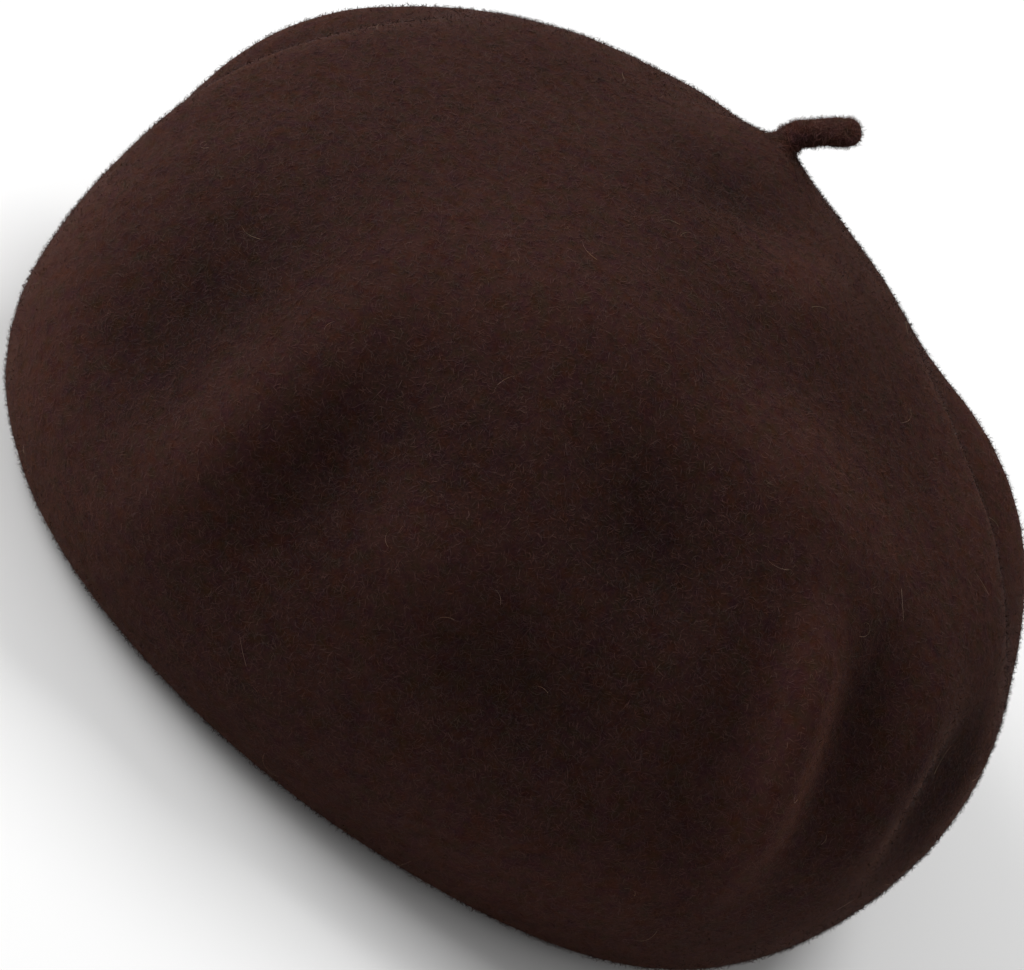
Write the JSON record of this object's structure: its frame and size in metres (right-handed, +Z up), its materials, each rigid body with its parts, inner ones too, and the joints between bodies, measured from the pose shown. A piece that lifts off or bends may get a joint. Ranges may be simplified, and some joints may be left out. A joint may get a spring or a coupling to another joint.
{
  "type": "beret",
  "caption": "Soft felted wool beret, resting opening down, with a puffed crown, an arching shoulder ridge, soft dents, a rolled edge and a short bent stalk on top.",
  "frame": {"origin": "on the surface that the beret rests on, below the middle of its outline", "axes": "+Z up, out of the head opening through the crown; +X to the right seen from the front; the front, below the shoulder ridge, faces -Y"},
  "size_m": [0.2368, 0.2156, 0.1377],
  "materials": {
    "felt": "matt dark brown felted wool with a fine short nap and a few paler stray hairs"
  },
  "bodies": {
    "root": {"crown": "felt", "stalk": "felt"}
  },
  "joints": []
}
